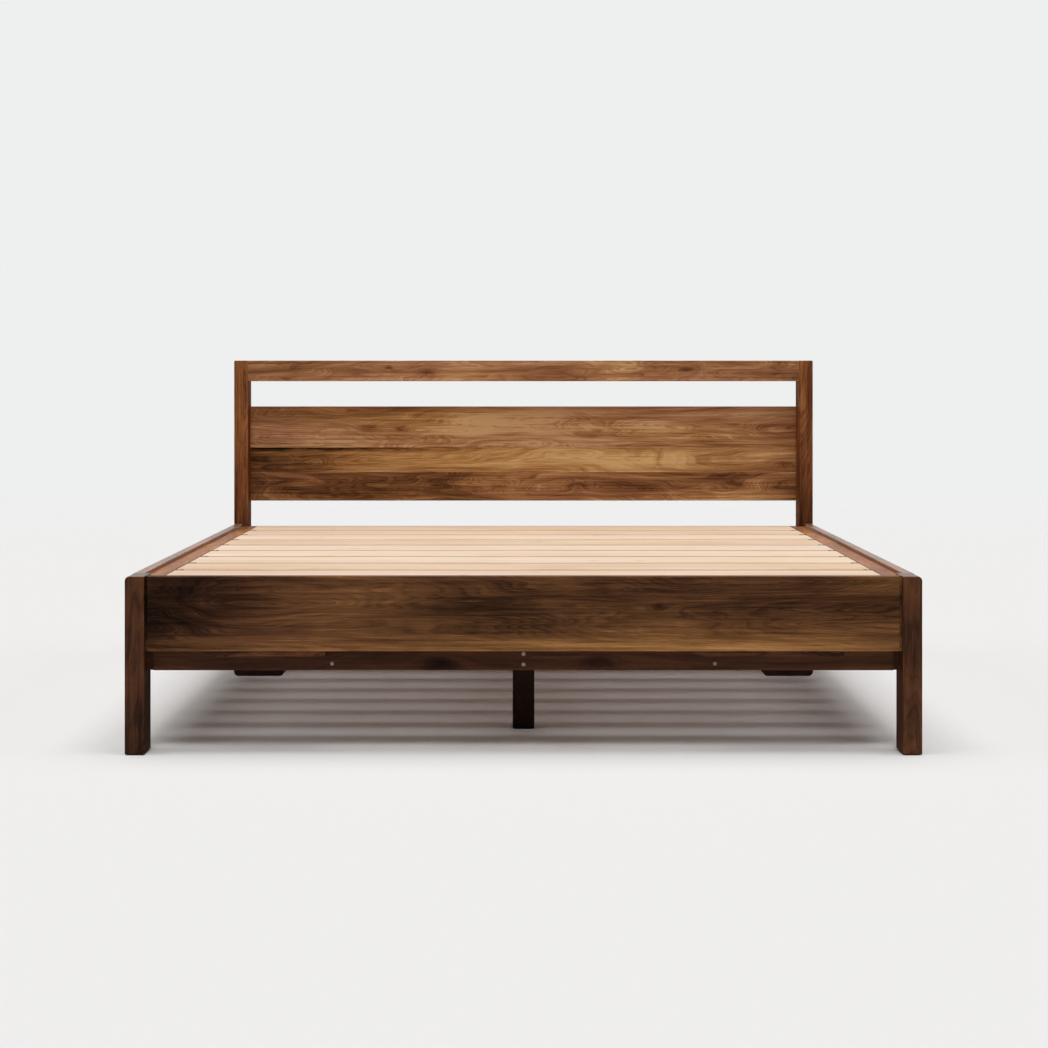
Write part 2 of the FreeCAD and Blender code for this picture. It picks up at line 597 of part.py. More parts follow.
def make_bracket_bolts():
    """Bolts through the inner rail and the foot bracket, with their nuts."""
    bolts = []
    nuts = []
    holes = []
    nut_face = INNER_RAIL_BACK + BRACKET_THICKNESS
    bolt_end = nut_face + NUT_HEIGHT + BOLT_STICK_OUT
    for z in BOLT_HEIGHTS:
        seat = Vector(0, FOOT_RAIL_BACK, z)
        crown = seat - Y_DIR * BOLT_HEAD_HEIGHT
        head = Part.makeCylinder(BOLT_HEAD_RADIUS, BOLT_HEAD_HEIGHT, crown, Y_DIR)
        rim = [e for e in head.Edges if abs(e.CenterOfMass.y - crown.y) < NEAR]
        head = head.makeFillet(BOLT_HEAD_HEIGHT / 2, rim)
        shank = Part.makeCylinder(BOLT_RADIUS, bolt_end - seat.y, seat, Y_DIR)
        socket = hexagon(crown, Y_DIR, BOLT_RADIUS * BOLT_SOCKET_SHARE, HEX_SOCKET_DEPTH)
        bolts.append(head.fuse(shank).removeSplitter().cut(socket))
        hole = Part.makeCylinder(BOLT_RADIUS + GAP, bolt_end - seat.y, seat, Y_DIR)
        holes.append(hole)
        nut = hexagon(Vector(0, nut_face, z), Y_DIR, NUT_RADIUS, NUT_HEIGHT)
        nuts.append(nut.cut(hole))
    drill(["foot_inner_rail", "beam_bracket_foot"], holes)
    pieces["beam_bracket_bolts"] = bolts
    pieces["beam_bracket_nuts"] = nuts


def make_centre_leg(end, y):
    """A square leg with a levelling foot: pad, flanged stem and threaded insert."""
    half = CENTRE_LEG_SIZE / 2
    leg = "centre_leg_" + end
    x_span = (-half, half)
    y_span = (y - half, y + half)
    bottom = CENTRE_LEG_BOTTOM
    solid = block(x_span, y_span, (bottom, BEAM_BOTTOM))
    pieces[leg] = solid.makeFillet(SOFT_EDGE, upright_edges(solid))
    offsets = (-CENTRE_LEG_SCREW_OFFSET, CENTRE_LEG_SCREW_OFFSET)
    heads = [(Vector(0, y + offset, SLAT_BOTTOM), -Z_DIR) for offset in offsets]
    drive_screws("centre_leg_screws", CENTRE_LEG_SCREW, heads, ["centre_beam", leg])

    insert_at = Vector(0, y, bottom)
    insert_hole = Part.makeCylinder(INSERT_RADIUS + GAP, INSERT_LENGTH + GAP, insert_at, Z_DIR)
    stem_hole_radius = STEM_RADIUS + STEM_HOLE_PLAY
    stem_hole = Part.makeCylinder(stem_hole_radius, STEM_HOLE_TOP - bottom, insert_at, Z_DIR)
    drill([leg], [insert_hole, stem_hole])
    insert = Part.makeCylinder(INSERT_RADIUS, INSERT_LENGTH, insert_at, Z_DIR)
    bore = Part.makeCylinder(INSERT_BORE, INSERT_LENGTH, insert_at, Z_DIR)
    pieces.setdefault("centre_leg_inserts", []).append(insert.cut(bore))

    flange_at = Vector(0, y, FLANGE_SPAN[0])
    flange = Part.makeCylinder(FLANGE_RADIUS, FLANGE_SPAN[1] - FLANGE_SPAN[0], flange_at, Z_DIR)
    rod = Part.makeCylinder(STEM_RADIUS, STEM_TOP - FLANGE_SPAN[0], flange_at, Z_DIR)
    key = hexagon(flange_at, Z_DIR, STEM_KEY_RADIUS, STEM_KEY_DEPTH)
    stem = flange.fuse(rod).removeSplitter().cut(key)
    pieces["levelling_foot_" + end + "_stem"] = stem

    pad = block(x_span, y_span, (0, PAD_THICKNESS))
    pad = pad.makeFillet(PAD_EDGE, upright_edges(pad))
    rim = [e for e in pad.Edges if abs(e.CenterOfMass.z) < NEAR]
    pad = pad.makeFillet(PAD_RIM, rim)
    well = Part.makeCylinder(PAD_WELL_RADIUS, PAD_THICKNESS, flange_at, Z_DIR)
    access = Part.makeCylinder(PAD_ACCESS_RADIUS, PAD_THICKNESS, Vector(0, y, 0), Z_DIR)
    pieces["levelling_foot_" + end + "_pad"] = pad.cut([well, access])


# ---- slats and glides --------------------------------------------------------
def make_slats():
    for index in range(SLAT_COUNT):
        start = slat_start(index)
        y_span = (start, start + SLAT_WIDTH)
        x_span = (-SLAT_HALF_LENGTH, SLAT_HALF_LENGTH)
        slat = block(x_span, y_span, (SLAT_BOTTOM, SLAT_TOP), SOFT_EDGE)
        pieces["slat_%02d" % (index + 1)] = slat


def make_glides():
    """Nail-on glides under the four corner legs."""
    glides = []
    for side, x_sign in SIDES.items():
        for leg, y_sign in (("foot_leg_", -1), ("headboard_post_", 1)):
            centre = Vector(x_sign * LEG_CENTRE_X, y_sign * LEG_CENTRE_Y, 0)
            disc = Part.makeCylinder(GLIDE_RADIUS, GLIDE_THICKNESS, centre, Z_DIR)
            rim = [e for e in disc.Edges if e.Closed and e.CenterOfMass.z < NEAR]
            disc = disc.makeFillet(GLIDE_RIM, rim)
            root = centre + Z_DIR * GLIDE_THICKNESS
            nail = Part.makeCylinder(NAIL_RADIUS, NAIL_LENGTH, root, Z_DIR)
            hole = Part.makeCylinder(NAIL_RADIUS + GAP, NAIL_LENGTH + GAP, root, Z_DIR)
            drill([leg + side], [hole])
            glides.append(disc.fuse(nail).removeSplitter())
    pieces["leg_glides"] = glides


def write_pieces():
    for name, shape in pieces.items():
        if isinstance(shape, list):
            shape = Part.makeCompound(shape)
        solids = shape.Solids
        if not solids or not shape.isValid():
            raise ValueError(name + " is not a valid solid")
        if len(solids) == 1:
            shape = solids[0]
        shape.exportStep("parts/" + name + ".step")
    print(len(pieces), "nodes")


make_foot_end()
make_headboard()
make_side_rails()
make_connectors()
make_centre_support()
make_slats()
make_glides()
write_pieces()
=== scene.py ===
import json
import math
import random

import bpy
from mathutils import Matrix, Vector


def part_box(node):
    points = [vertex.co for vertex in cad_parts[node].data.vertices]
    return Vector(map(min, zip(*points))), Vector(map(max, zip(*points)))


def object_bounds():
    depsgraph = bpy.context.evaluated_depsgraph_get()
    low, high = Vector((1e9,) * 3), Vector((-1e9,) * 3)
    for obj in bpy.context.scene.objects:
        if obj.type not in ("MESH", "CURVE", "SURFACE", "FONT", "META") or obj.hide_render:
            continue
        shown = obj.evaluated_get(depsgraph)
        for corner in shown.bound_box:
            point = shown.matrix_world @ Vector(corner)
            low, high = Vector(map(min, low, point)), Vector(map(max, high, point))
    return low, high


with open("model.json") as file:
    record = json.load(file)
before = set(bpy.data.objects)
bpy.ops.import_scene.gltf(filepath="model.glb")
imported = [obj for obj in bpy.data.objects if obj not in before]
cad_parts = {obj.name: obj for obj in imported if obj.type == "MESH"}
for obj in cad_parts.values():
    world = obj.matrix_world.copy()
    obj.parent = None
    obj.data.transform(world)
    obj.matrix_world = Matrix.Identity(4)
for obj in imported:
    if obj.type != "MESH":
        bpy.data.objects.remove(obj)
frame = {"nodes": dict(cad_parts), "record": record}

CAD_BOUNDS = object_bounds()
NODES = frame["nodes"]
RANDOM = random.Random(20)


# ---- numbers that vary over a surface ----------------------------------------
class Field:
    """An output socket of a material's node tree, with arithmetic that adds nodes."""

    def __init__(self, tree, socket):
        self.tree = tree
        self.socket = socket

    def math(self, operation, *others, clamp=False):
        node = self.tree.nodes.new("ShaderNodeMath")
        node.operation = operation
        node.use_clamp = clamp
        for index, value in enumerate((self,) + others):
            feed(self.tree, node.inputs[index], value)
        return Field(self.tree, node.outputs[0])

    def __add__(self, other):
        return self.math("ADD", other)

    def __sub__(self, other):
        return self.math("SUBTRACT", other)

    def __neg__(self):
        return self.math("MULTIPLY", -1.0)

    def __mul__(self, other):
        return self.math("MULTIPLY", other)

    def __truediv__(self, other):
        return self.math("DIVIDE", other)

    def clamped(self):
        return self.math("ADD", 0.0, clamp=True)

    def smooth(self, low, high, start=0.0, end=1.0):
        """Eases from start at low to end at high."""
        node = self.tree.nodes.new("ShaderNodeMapRange")
        node.interpolation_type = "SMOOTHSTEP"
        feed(self.tree, node.inputs["Value"], self)
        node.inputs["From Min"].default_value = low
        node.inputs["From Max"].default_value = high
        node.inputs["To Min"].default_value = start
        node.inputs["To Max"].default_value = end
        return Field(self.tree, node.outputs["Result"])


def feed(tree, socket, value):
    if isinstance(value, Field):
        tree.links.new(value.socket, socket)
    else:
        socket.default_value = value


def object_place(tree, space="Object"):
    """The coordinates of a surface point in the row frame, or of a direction in the sky."""
    place = tree.nodes.new("ShaderNodeTexCoord")
    split = tree.nodes.new("ShaderNodeSeparateXYZ")
    tree.links.new(place.outputs[space], split.inputs[0])
    return [Field(tree, split.outputs[axis]) for axis in range(3)]


def noise(x, y, z, detail=2.0, roughness=0.5):
    """Smooth noise from 0 to 1, centred on 0.5."""
    tree = x.tree
    join = tree.nodes.new("ShaderNodeCombineXYZ")
    for socket, value in zip(join.inputs, (x, y, z)):
        feed(tree, socket, value)
    node = tree.nodes.new("ShaderNodeTexNoise")
    node.inputs["Scale"].default_value = 1.0
    node.inputs["Detail"].default_value = detail
    node.inputs["Roughness"].default_value = roughness
    tree.links.new(join.outputs[0], node.inputs["Vector"])
    return Field(tree, node.outputs[0])


def speckle(place, waves, detail=2.0, roughness=0.5):
    """Noise with the same number of waves per metre in every direction."""
    return noise(*[axis * waves for axis in place], detail, roughness)


def hump(u, v, spot):
    """A smooth hump of height 1 centred on a spot (u, v, half_u, half_v)."""
    along = (u - spot[0]) / spot[2]
    across = (v - spot[1]) / spot[3]
    return (-(along * along + across * across)).math("EXPONENT")


def ramp(value, stops):
    """A colour ramp over (position, (r, g, b)) stops, with colours as 0 to 255."""
    node = value.tree.nodes.new("ShaderNodeValToRGB")
    feed(value.tree, node.inputs[0], value)
    elements = node.color_ramp.elements
    while len(elements) < len(stops):
        elements.new(0.5)
    for element, (position, colour) in zip(elements, stops):
        element.position = position
        element.color = linear(colour)
    return node.outputs[0]


def linear(colour):
    """Linear RGBA from an ordinary 0 to 255 colour."""
    channels = []
    for channel in colour:
        share = channel / 255
        if share <= 0.04045:
            channels.append(share / 12.92)
        else:
            channels.append(((share + 0.055) / 1.055) ** 2.4)
    return (*channels, 1.0)


def new_material(name):
    """A material with an empty Principled surface; returns it, its tree and shader."""
    material = bpy.data.materials.new(name)
    material.use_nodes = True
    tree = material.node_tree
    tree.nodes.clear()
    output = tree.nodes.new("ShaderNodeOutputMaterial")
    shader = tree.nodes.new("ShaderNodeBsdfPrincipled")
    tree.links.new(shader.outputs[0], output.inputs["Surface"])
    return material, tree, shader


def add_bump(tree, shader, height, strength, distance):
    node = tree.nodes.new("ShaderNodeBump")
    node.inputs["Strength"].default_value = strength
    node.inputs["Distance"].default_value = distance
    feed(tree, node.inputs["Height"], height)
    tree.links.new(node.outputs[0], shader.inputs["Normal"])


def dress(node_name, material):
    """Give a CAD node its material in every slot."""
    thing = NODES[node_name]
    thing.data.materials.clear()
    thing.data.materials.append(material)
    for polygon in thing.data.polygons:
        polygon.material_index = 0


# ---- wood ---------------------------------------------------------------------
# each wood is (reddish dark ramp, golden ramp, depth of its pores)
WALNUT = (
    [
        (0.00, (18, 9, 5)),
        (0.22, (58, 33, 20)),
        (0.45, (110, 70, 45)),
        (0.66, (156, 105, 71)),
        (0.84, (188, 136, 98)),
        (1.00, (216, 172, 132)),
    ],
    [
        (0.00, (22, 12, 5)),
        (0.22, (66, 41, 20)),
        (0.45, (122, 82, 45)),
        (0.66, (172, 122, 72)),
        (0.84, (206, 158, 100)),
        (1.00, (232, 192, 134)),
    ],
    0.12,
)
RUSSET_WALNUT = (
    [
        (0.00, (15, 7, 4)),
        (0.22, (52, 27, 16)),
        (0.45, (104, 60, 35)),
        (0.66, (148, 90, 54)),
        (0.84, (180, 118, 74)),
        (1.00, (208, 152, 106)),
    ],
    [
        (0.00, (18, 9, 4)),
        (0.22, (58, 34, 17)),
        (0.45, (112, 70, 38)),
        (0.66, (160, 106, 58)),
        (0.84, (194, 138, 82)),
        (1.00, (220, 172, 114)),
    ],
    0.12,
)
DARK_WALNUT = (
    [(0.00, (8, 3, 2)), (0.30, (30, 13, 7)), (0.60, (62, 32, 19)), (1.00, (104, 62, 38))],
    [(0.00, (12, 6, 3)), (0.30, (38, 20, 9)), (0.60, (76, 44, 22)), (1.00, (122, 78, 42))],
    0.08,
)
STAINED = (
    [(0.00, (8, 6, 5)), (0.50, (28, 20, 16)), (1.00, (58, 44, 34))],
    [(0.00, (10, 7, 5)), (0.50, (34, 24, 16)), (1.00, (66, 48, 32))],
    0.06,
)
PINE = (
    [
        (0.00, (146, 98, 70)),
        (0.30, (204, 166, 140)),
        (0.55, (230, 202, 182)),
        (0.80, (245, 225, 210)),
        (1.00, (253, 240, 230)),
    ],
    [
        (0.00, (150, 104, 62)),
        (0.30, (210, 176, 132)),
        (0.55, (234, 208, 174)),
        (0.80, (247, 229, 204)),
        (1.00, (254, 243, 226)),
    ],
    0.02,
)
BEECH = (
    [(0.00, (150, 108, 80)), (0.50, (206, 166, 130)), (1.00, (232, 200, 166))],
    [(0.00, (156, 112, 70)), (0.50, (212, 172, 120)), (1.00, (238, 206, 158))],
    0.03,
)

# how far each layer of the figure moves the tone; the first five grow with contrast
BAND_SHARE = 0.85
CLOUD_SHARE = 0.50
RIBBON_SHARE = 0.42
STREAK_SHARE = 0.40
LATEWOOD_SHARE = 0.07
FIBRE_SHARE = 0.10

RING_JITTER = 0.003              # metres
LATEWOOD_START = 0.30            # shares of one growth ring
RING_EDGE = 0.90
WORN_EDGE = (0.0005, 0.0040)     # metres from a corner where wear is full, and where it ends
GRAIN_BUMP = (0.30, 0.0004)      # strength, distance in metres

# grain direction -> which row axis is (along, across, into the board)
GRAIN = {
    "x": (0, 2, 1),
    "y": (1, 2, 0),
    "z": (2, 0, 1),
    "x_flat": (0, 1, 2),
    "y_flat": (1, 0, 2),
}


def layer(board, along, across, shift, detail=2.0, roughness=0.5):
    """Noise about zero, with so many waves per metre along the grain and across it."""
    u, v, w = board
    return noise(u * along + shift, v * across, w * across, detail, roughness) - 0.5


def worn_corners(board, half, shift):
    """Patchy wear, up to 1, where two faces of the board meet."""
    u, v, w = board
    ends, sides, faces = [-c.math("ABSOLUTE") + h for c, h in zip(board, half)]
    nearest = ends.math("MAXIMUM", sides).math("MINIMUM", sides.math("MAXIMUM", faces))
    nearest = nearest.math("MINIMUM", ends.math("MAXIMUM", faces))
    patchy = noise(u * 14.0, v * 14.0, w * 14.0 + shift, 3.0).smooth(0.35, 0.70)
    return nearest.smooth(*WORN_EDGE, 1.0, 0.0) * patchy


def local_spot(spot, half):
    """A spot's place in metres, from its place in shares of the board's half size."""
    return (spot[0] * half[0], spot[1] * half[1], spot[2], spot[3])


def wood(
    node_name,
    grain,
    finish,
    tone=0.5,
    gold=0.4,
    spacing=0.005,
    pith=(0.0, 0.06),
    slope=0.02,
    figure=0.30,
    stretch=1.0,
    contrast=1.0,
    knots=(),
    tints_and_painted_shade=(),
    golds=(),
    roughness=0.46,
    specular=0.20,
    wear=0.10,
):
    """Solid wood cut from one log: growth rings about a pith line beside the board.

    finish is (dark ramp, golden ramp, pore depth). pith is how far the log's centre lies
    across (as a share of the half width) and into the board, slope how fast it moves away
    along the board, and figure how strongly the rings wander. Knots are (u, v, half_u,
    half_v, lift, dark) with u and v as shares of the board's half size, and tint spots and
    golds are (u, v, half_u, half_v, amount). A thin tint spot with a negative amount along a
    board's edge is a painted shadow line.
    """
    dark_ramp, gold_ramp, pore_depth = finish
    low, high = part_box(node_name)
    axes = GRAIN[grain]
    middle = [(low[a] + high[a]) / 2 for a in axes]
    half = [(high[a] - low[a]) / 2 for a in axes]
    material, tree, shader = new_material("wood_" + node_name)
    place = object_place(tree)
    board = [place[a] - m for a, m in zip(axes, middle)]
    u, v, w = board
    shift = RANDOM.uniform(5.0, 90.0)

    # distance from the log's wandering centre
    slow = 1.3 / stretch
    heave = layer(board, slow, 7.0, shift, 3.0, 0.45)
    sway = layer(board, slow, 3.0, shift + 31.0)
    jitter = layer(board, 9.0, 60.0, shift, 3.0, 0.6)
    across = v - pith[0] * half[1] + sway * (figure * 0.25)
    into = w - pith[1] + heave * figure + u * slope
    radius = (across * across + into * into).math("SQRT") + jitter * RING_JITTER

    shade = None
    for knot in knots:
        bump = hump(u + jitter * 0.03, v + jitter * 0.015, local_spot(knot, half))
        radius = radius + bump * knot[4]
        dark = bump * bump * -knot[5]
        shade = dark if shade is None else shade + dark
    # tint spots move the tone; a thin dark one along a board's edge is a painted shadow line
    for tint in tints_and_painted_shade:
        light = hump(u + jitter * 0.05, v + jitter * 0.03, local_spot(tint, half)) * tint[4]
        shade = light if shade is None else shade + light

    # growth rings, from broad bands down to single fibres and pores
    phase = radius / spacing
    ring = phase.math("FRACT")
    late = ring.smooth(LATEWOOD_START, RING_EDGE) - ring.smooth(RING_EDGE, 1.0)
    band = noise(phase * 0.16 + shift, u * 1.6, 3.0, 6.0, 0.72) - 0.5
    cloud = layer(board, 1.6, 8.0, shift, 3.0)
    ribbon = layer(board, 2.2, 110.0, shift, 3.0, 0.6)
    streak = layer(board, 5.0, 330.0, shift, 4.0, 0.7)
    fibre = noise(u * 30.0, v * 1200.0 + shift, w * 1200.0, 1.0) - 0.5
    pore = noise(u * 50.0, v * 1500.0, w * 1500.0 + shift, 0.0).smooth(0.66, 0.82)

    value = band * (BAND_SHARE * contrast) + cloud * (CLOUD_SHARE * contrast)
    value = value + ribbon * (RIBBON_SHARE * contrast) + streak * (STREAK_SHARE * contrast)
    value = value + fibre * FIBRE_SHARE - late * (LATEWOOD_SHARE * contrast)
    value = value - pore * pore_depth + (tone + 0.04)
    if shade is not None:
        value = value + shade

    hue = layer(board, 1.3, 9.0, shift + 11.0) * 1.6 + band * 0.8 + gold
    for spot in golds:
        hue = hue + hump(u, v, local_spot(spot, half)) * spot[4]

    rubbed = worn_corners(board, half, shift)
    value = (value + rubbed * wear).clamped()

    blend = tree.nodes.new("ShaderNodeMix")
    blend.data_type = "RGBA"
    feed(tree, blend.inputs["Factor"], hue.clamped())
    tree.links.new(ramp(value, dark_ramp), blend.inputs["A"])
    tree.links.new(ramp(value, gold_ramp), blend.inputs["B"])
    tree.links.new(blend.outputs["Result"], shader.inputs["Base Color"])
    rough = streak * 0.20 + pore * 0.18 - rubbed * 0.10 + late * 0.04 + roughness
    feed(tree, shader.inputs["Roughness"], rough.clamped())
    shader.inputs["Specular IOR Level"].default_value = specular
    height = fibre * 0.4 - pore * 0.9 - late * 0.25 + streak * 0.5
    add_bump(tree, shader, height, *GRAIN_BUMP)
    dress(node_name, material)


def dress_headboard():
    for side, lean in (("left", 0.5), ("right", -0.4)):
        wood(
            "headboard_post_" + side, "z", RUSSET_WALNUT, tone=0.49, gold=0.30,
            pith=(lean, 0.05), figure=0.16, slope=0.01, contrast=1.3, roughness=0.64, specular=0.06,
        )
    wood(
        "headboard_top_rail", "x", WALNUT, tone=0.72, gold=0.12, pith=(0.2, 0.05), figure=0.34,
        contrast=1.4, specular=0.10,
        knots=[
            (-0.35, -0.1, 0.050, 0.016, 0.020, 0.34),
            (-0.49, 0.30, 0.018, 0.008, 0.008, 0.30),
            (0.43, -0.4, 0.012, 0.008, 0.006, 0.35),
            (0.59, 0.1, 0.045, 0.014, 0.018, 0.34),
        ],
        tints_and_painted_shade=[(-0.20, 0.0, 0.09, 0.03, 0.08), (0.30, 0.1, 0.12, 0.03, 0.08)],
        golds=[(-0.20, 0.0, 0.12, 0.05, 0.5), (0.33, 0.0, 0.12, 0.05, 0.5)],
    )
    wood(
        "headboard_panel_upper_board", "x", WALNUT, tone=0.79, gold=0.30, pith=(-0.3, 0.05),
        figure=0.40, contrast=1.45, specular=0.10,
        knots=[
            (-0.56, -0.05, 0.055, 0.018, 0.030, 0.34),
            (-0.44, -0.10, 0.035, 0.012, 0.020, 0.32),
            (0.07, -0.50, 0.075, 0.022, 0.026, 0.05),
            (0.27, -0.20, 0.040, 0.014, 0.022, 0.26),
            (0.65, -0.45, 0.075, 0.024, 0.028, 0.08),
        ],
        tints_and_painted_shade=[
            (0.02, 0.0, 0.35, 0.12, 0.19),
            (-0.95, 0.0, 0.25, 0.10, -0.06),
            (0.92, 0.05, 0.10, 0.012, -0.20),
            (-0.38, 0.5, 0.12, 0.012, 0.10),
            (0.40, 0.45, 0.28, 0.008, -0.10),
        ],
        golds=[(-0.40, 0.2, 0.25, 0.05, 0.3), (0.40, -0.2, 0.20, 0.03, 0.3)],
    )
    wood(
        "headboard_panel_middle_board", "x", WALNUT, tone=0.71, gold=0.45, pith=(0.4, 0.09),
        figure=0.20, stretch=1.5, contrast=1.3, specular=0.10,
        knots=[
            (-0.87, 0.0, 0.040, 0.014, 0.018, 0.12),
            (-0.75, -0.2, 0.050, 0.014, 0.018, 0.10),
            (0.49, 0.1, 0.016, 0.050, 0.012, 0.08),
            (0.95, -0.3, 0.045, 0.014, 0.018, 0.18),
        ],
        tints_and_painted_shade=[
            (0.15, -0.2, 0.65, 0.05, 0.23),
            # painted shadow: a thin dark band along this board's top edge on the left, under the
            # upper board
            (-0.75, 1.0, 0.55, 0.009, -0.45),
            (-1.0, 0.0, 0.40, 0.10, -0.30),
        ],
        golds=[(0.10, 0.0, 0.60, 0.08, 0.9), (-0.8, 0.0, 0.3, 0.08, 0.3)],
    )
    wood(
        "headboard_panel_lower_board", "x", WALNUT, tone=0.56, gold=0.30, pith=(0.0, 0.05),
        figure=0.40, contrast=1.5, specular=0.10,
        knots=[
            (-0.87, -0.15, 0.080, 0.026, 0.034, 0.20),
            (-0.31, 0.10, 0.040, 0.014, 0.018, 0.18),
            (-0.09, 0.0, 0.040, 0.014, 0.018, 0.16),
            (0.20, 0.0, 0.045, 0.022, 0.024, 0.22),
            (0.77, 0.1, 0.080, 0.022, 0.026, 0.26),
        ],
        tints_and_painted_shade=[
            (0.05, 0.0, 0.35, 0.12, 0.12),
            (0.0, -0.95, 1.4, 0.010, 0.10),
            (-0.90, 0.2, 0.24, 0.06, -0.20),
        ],
    )
    wood("head_rail", "x", WALNUT, tone=0.50, pith=(0.1, 0.09))


def dress_foot_end():
    legs = (("left", 0.25, 0.5, 0.12), ("right", 0.31, -0.3, 0.16))
    for side, tone, lean, figure in legs:
        wood(
            "foot_leg_" + side, "z", RUSSET_WALNUT, tone=tone, gold=0.40, pith=(lean, 0.09),
            figure=figure, contrast=0.9, roughness=0.32, specular=0.40,
        )
    wood(
        "foot_rail", "x", WALNUT, tone=0.34, gold=0.40, pith=(0.25, 0.08), figure=0.30, stretch=1.8,
        contrast=0.85, specular=0.10,
        knots=[
            (-0.98, 0.10, 0.120, 0.070, 0.080, 0.06),
            (0.36, 0.18, 0.030, 0.010, 0.012, 0.20),
        ],
        tints_and_painted_shade=[
            (-1.00, 0.1, 0.20, 0.16, -0.26),
            (-0.05, -0.85, 0.75, 0.030, 0.15),
            (0.60, -0.95, 0.60, 0.016, 0.12),
            (0.75, 0.1, 0.45, 0.08, -0.07),
            (0.95, 0.85, 0.40, 0.030, 0.06),
            (-0.20, 0.25, 0.70, 0.020, -0.05),
        ],
        golds=[(0.0, -0.85, 0.80, 0.030, 0.6)],
    )
    wood(
        "foot_inner_rail", "x", DARK_WALNUT, tone=0.72, gold=0.25, pith=(0.0, 0.04), figure=0.30,
        knots=[(-0.22, -0.85, 0.060, 0.030, 0.050, 0.25), (0.20, -0.80, 0.050, 0.026, 0.040, 0.20)],
    )
    for side in ("left", "right"):
        wood("foot_rail_cleat_" + side, "x", RUSSET_WALNUT, tone=0.26, gold=0.2, pith=(0.0, 0.09))
        wood("foot_support_block_" + side, "x", DARK_WALNUT, tone=0.34, gold=0.0, pith=(0.0, 0.08))


def dress_sides():
    for side in ("left", "right"):
        wood(
            "side_rail_" + side, "y", RUSSET_WALNUT, tone=0.52, gold=0.30, pith=(0.2, 0.09),
            figure=0.24, roughness=0.32, specular=0.80,
        )
        # the spacers' very low tone is painted shade: the dark notches between the slat ends
        for name, tone in (("slat_ledger_", 0.64), ("slat_spacers_", 0.16)):
            wood(name + side, "y_flat", RUSSET_WALNUT, tone=tone, gold=0.40, pith=(0.1, 0.07))


def dress_slats():
    for number in range(1, 10):
        knots = []
        for _ in range(RANDOM.randint(0, 2)):
            u = RANDOM.uniform(-0.9, 0.9)
            v = RANDOM.uniform(-0.7, 0.7)
            knots.append((u, v, 0.016, 0.009, 0.012, 0.35))
        wood(
            "slat_%02d" % number, "x_flat", PINE, tone=RANDOM.uniform(0.46, 0.63),
            gold=RANDOM.uniform(0.25, 0.60), spacing=RANDOM.uniform(0.004, 0.007),
            pith=(RANDOM.uniform(-1.5, 1.5), RANDOM.uniform(-0.08, -0.04)), figure=0.10,
            stretch=1.6, contrast=0.60, knots=knots, roughness=0.60, wear=0.06,
        )


def dress_centre():
    wood(
        "centre_beam", "y_flat", PINE, tone=0.60, spacing=0.006, pith=(0.3, -0.12), figure=0.10,
        contrast=0.7, roughness=0.64, wear=-0.05,
    )
    for end in ("front", "rear"):
        wood("centre_leg_" + end, "z", STAINED, tone=0.95, pith=(0.3, 0.08), roughness=0.55)
    for name in ("rail_dowels", "headboard_top_rail_dowels", "headboard_panel_splines"):
        wood(name, "x", BEECH, tone=0.5, spacing=0.003, pith=(0.2, 0.05), figure=0.05, contrast=0.5)


# ---- metal and plastic ---------------------------------------------------------
THREAD_PITCH = 0.0015            # metres
METAL_MOTTLE = (160.0, 4.0, 0.6)    # waves per metre, detail, roughness


def zinc_steel(name):
    """Bright zinc-plated steel with fine turning marks and dull patches."""
    material, tree, shader = new_material(name)
    place = object_place(tree)
    mottle = speckle(place, *METAL_MOTTLE)
    turning = speckle(place, 2400.0)
    colours = [(0.0, (150, 150, 142)), (0.5, (198, 199, 190)), (1.0, (226, 227, 218))]
    tree.links.new(ramp(mottle, colours), shader.inputs["Base Color"])
    feed(tree, shader.inputs["Roughness"], mottle * 0.25 + turning * 0.10 + 0.20)
    shader.inputs["Metallic"].default_value = 0.5
    add_bump(tree, shader, turning + mottle, 0.25, 0.0001)
    return material


def threaded_steel(name, node_name):
    """Zinc steel whose bump is a helical thread about the node's upright axis; the thread's roots
    are painted darker than its crests, as painted shade.
    """
    low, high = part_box(node_name)
    material, tree, shader = new_material(name)
    place = object_place(tree)
    x, y, z = place
    right = x - (low[0] + high[0]) / 2
    back = y - (low[1] + high[1]) / 2
    turn = back.math("ARCTAN2", right) / (2 * math.pi)
    thread = (z / THREAD_PITCH - turn).math("PINGPONG", 0.5)
    mottle = speckle(place, *METAL_MOTTLE)
    colours = [(0.0, (118, 118, 116)), (0.5, (170, 172, 172)), (1.0, (208, 210, 208))]
    # painted shade: the thread's roots are darker and its crests lighter
    value = mottle * 0.6 + thread * 0.8
    tree.links.new(ramp(value.clamped(), colours), shader.inputs["Base Color"])
    feed(tree, shader.inputs["Roughness"], mottle * 0.3 + 0.22)
    shader.inputs["Metallic"].default_value = 1.0
    add_bump(tree, shader, thread, 0.9, 0.0008)
    return material


def powder_coat(name):
    """Black powder-coated steel: a fine orange-peel skin."""
    material, tree, shader = new_material(name)
    place = object_place(tree)
    peel = speckle(place, 900.0)
    dust = speckle(place, 24.0, 4.0)
    colours = [(0.0, (16, 16, 17)), (1.0, (44, 44, 45))]
    tree.links.new(ramp(dust * 0.7 + peel * 0.3, colours), shader.inputs["Base Color"])
    feed(tree, shader.inputs["Roughness"], peel * 0.2 + dust * 0.15 + 0.35)
    add_bump(tree, shader, peel, 0.4, 0.0002)
    return material


